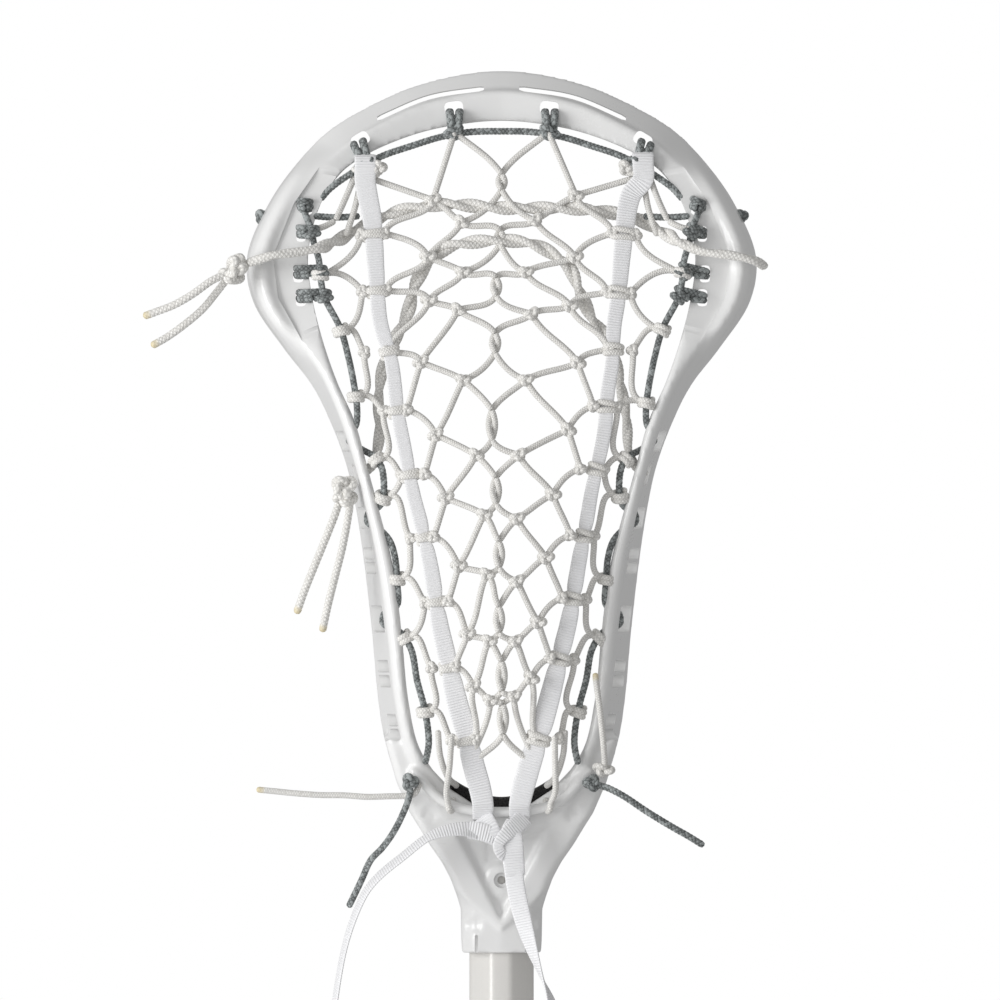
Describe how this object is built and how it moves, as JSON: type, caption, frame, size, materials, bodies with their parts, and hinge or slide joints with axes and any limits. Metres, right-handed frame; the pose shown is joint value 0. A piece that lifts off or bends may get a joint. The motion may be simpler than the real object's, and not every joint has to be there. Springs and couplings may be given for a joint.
{
  "type": "lacrosse stick",
  "caption": "Field lacrosse stick with a moulded head, a hand-strung mesh pocket with taped runners and twisted shooting strings, on a straight octagonal shaft with a rubber butt cap.",
  "frame": {"origin": "on the shaft's centre line where the lower hand grips it, 120 mm above the butt end", "axes": "+Z along the shaft towards the scoop, -Y out of the back of the head where the pocket bulges, +Y out of its face, +X to the right seen from the back"},
  "size_m": [0.2421, 0.0699, 1.0883],
  "materials": {
    "head_plastic": "white moulded nylon, glossy, faintly translucent at its edges",
    "shaft_paint": "off-white satin paint on an alloy tube",
    "cap_rubber": "matt black moulded rubber",
    "stop_foam": "black closed-cell foam",
    "screw_steel": "zinc-plated steel",
    "grey_cord": "braided nylon cord, dark grey with lighter flecks",
    "white_cord": "white braided cord, pearly, in a two-strand twist",
    "white_lace": "thin white braided lace",
    "white_tape": "white woven tape with fine cross ribs"
  },
  "bodies": {
    "root": {"shaft": "shaft_paint", "butt_cap": "cap_rubber", "head_frame": "head_plastic", "head_screw": "screw_steel", "ball_stop": "stop_foam", "top_string": "grey_cord", "left_sidewall_string": "grey_cord", "right_sidewall_string": "grey_cord", "left_sidewall_knot": "grey_cord", "right_sidewall_knot": "grey_cord", "left_sidewall_tail": "grey_cord", "right_sidewall_tail": "grey_cord", "upper_shooting_string": "white_cord", "lower_shooting_string": "white_cord", "upper_shooter_knot": "white_cord", "lower_shooter_knot": "white_cord", "upper_shooter_tail_a": "white_cord", "upper_shooter_tail_b": "white_cord", "lower_shooter_tail_a": "white_cord", "lower_shooter_tail_b": "white_cord", "left_side_lace": "white_lace", "right_side_lace": "white_lace", "centre_lace": "white_lace", "left_bottom_lace": "white_lace", "right_bottom_lace": "white_lace", "bottom_lace_knot": "white_lace", "bottom_lace_tail": "white_lace", "bottom_knot_tail": "white_lace", "left_runner": "white_tape", "right_runner": "white_tape", "left_runner_knot": "white_tape", "right_runner_knot": "white_tape", "left_runner_tail": "white_tape", "right_runner_tail": "white_tape"}
  },
  "joints": []
}
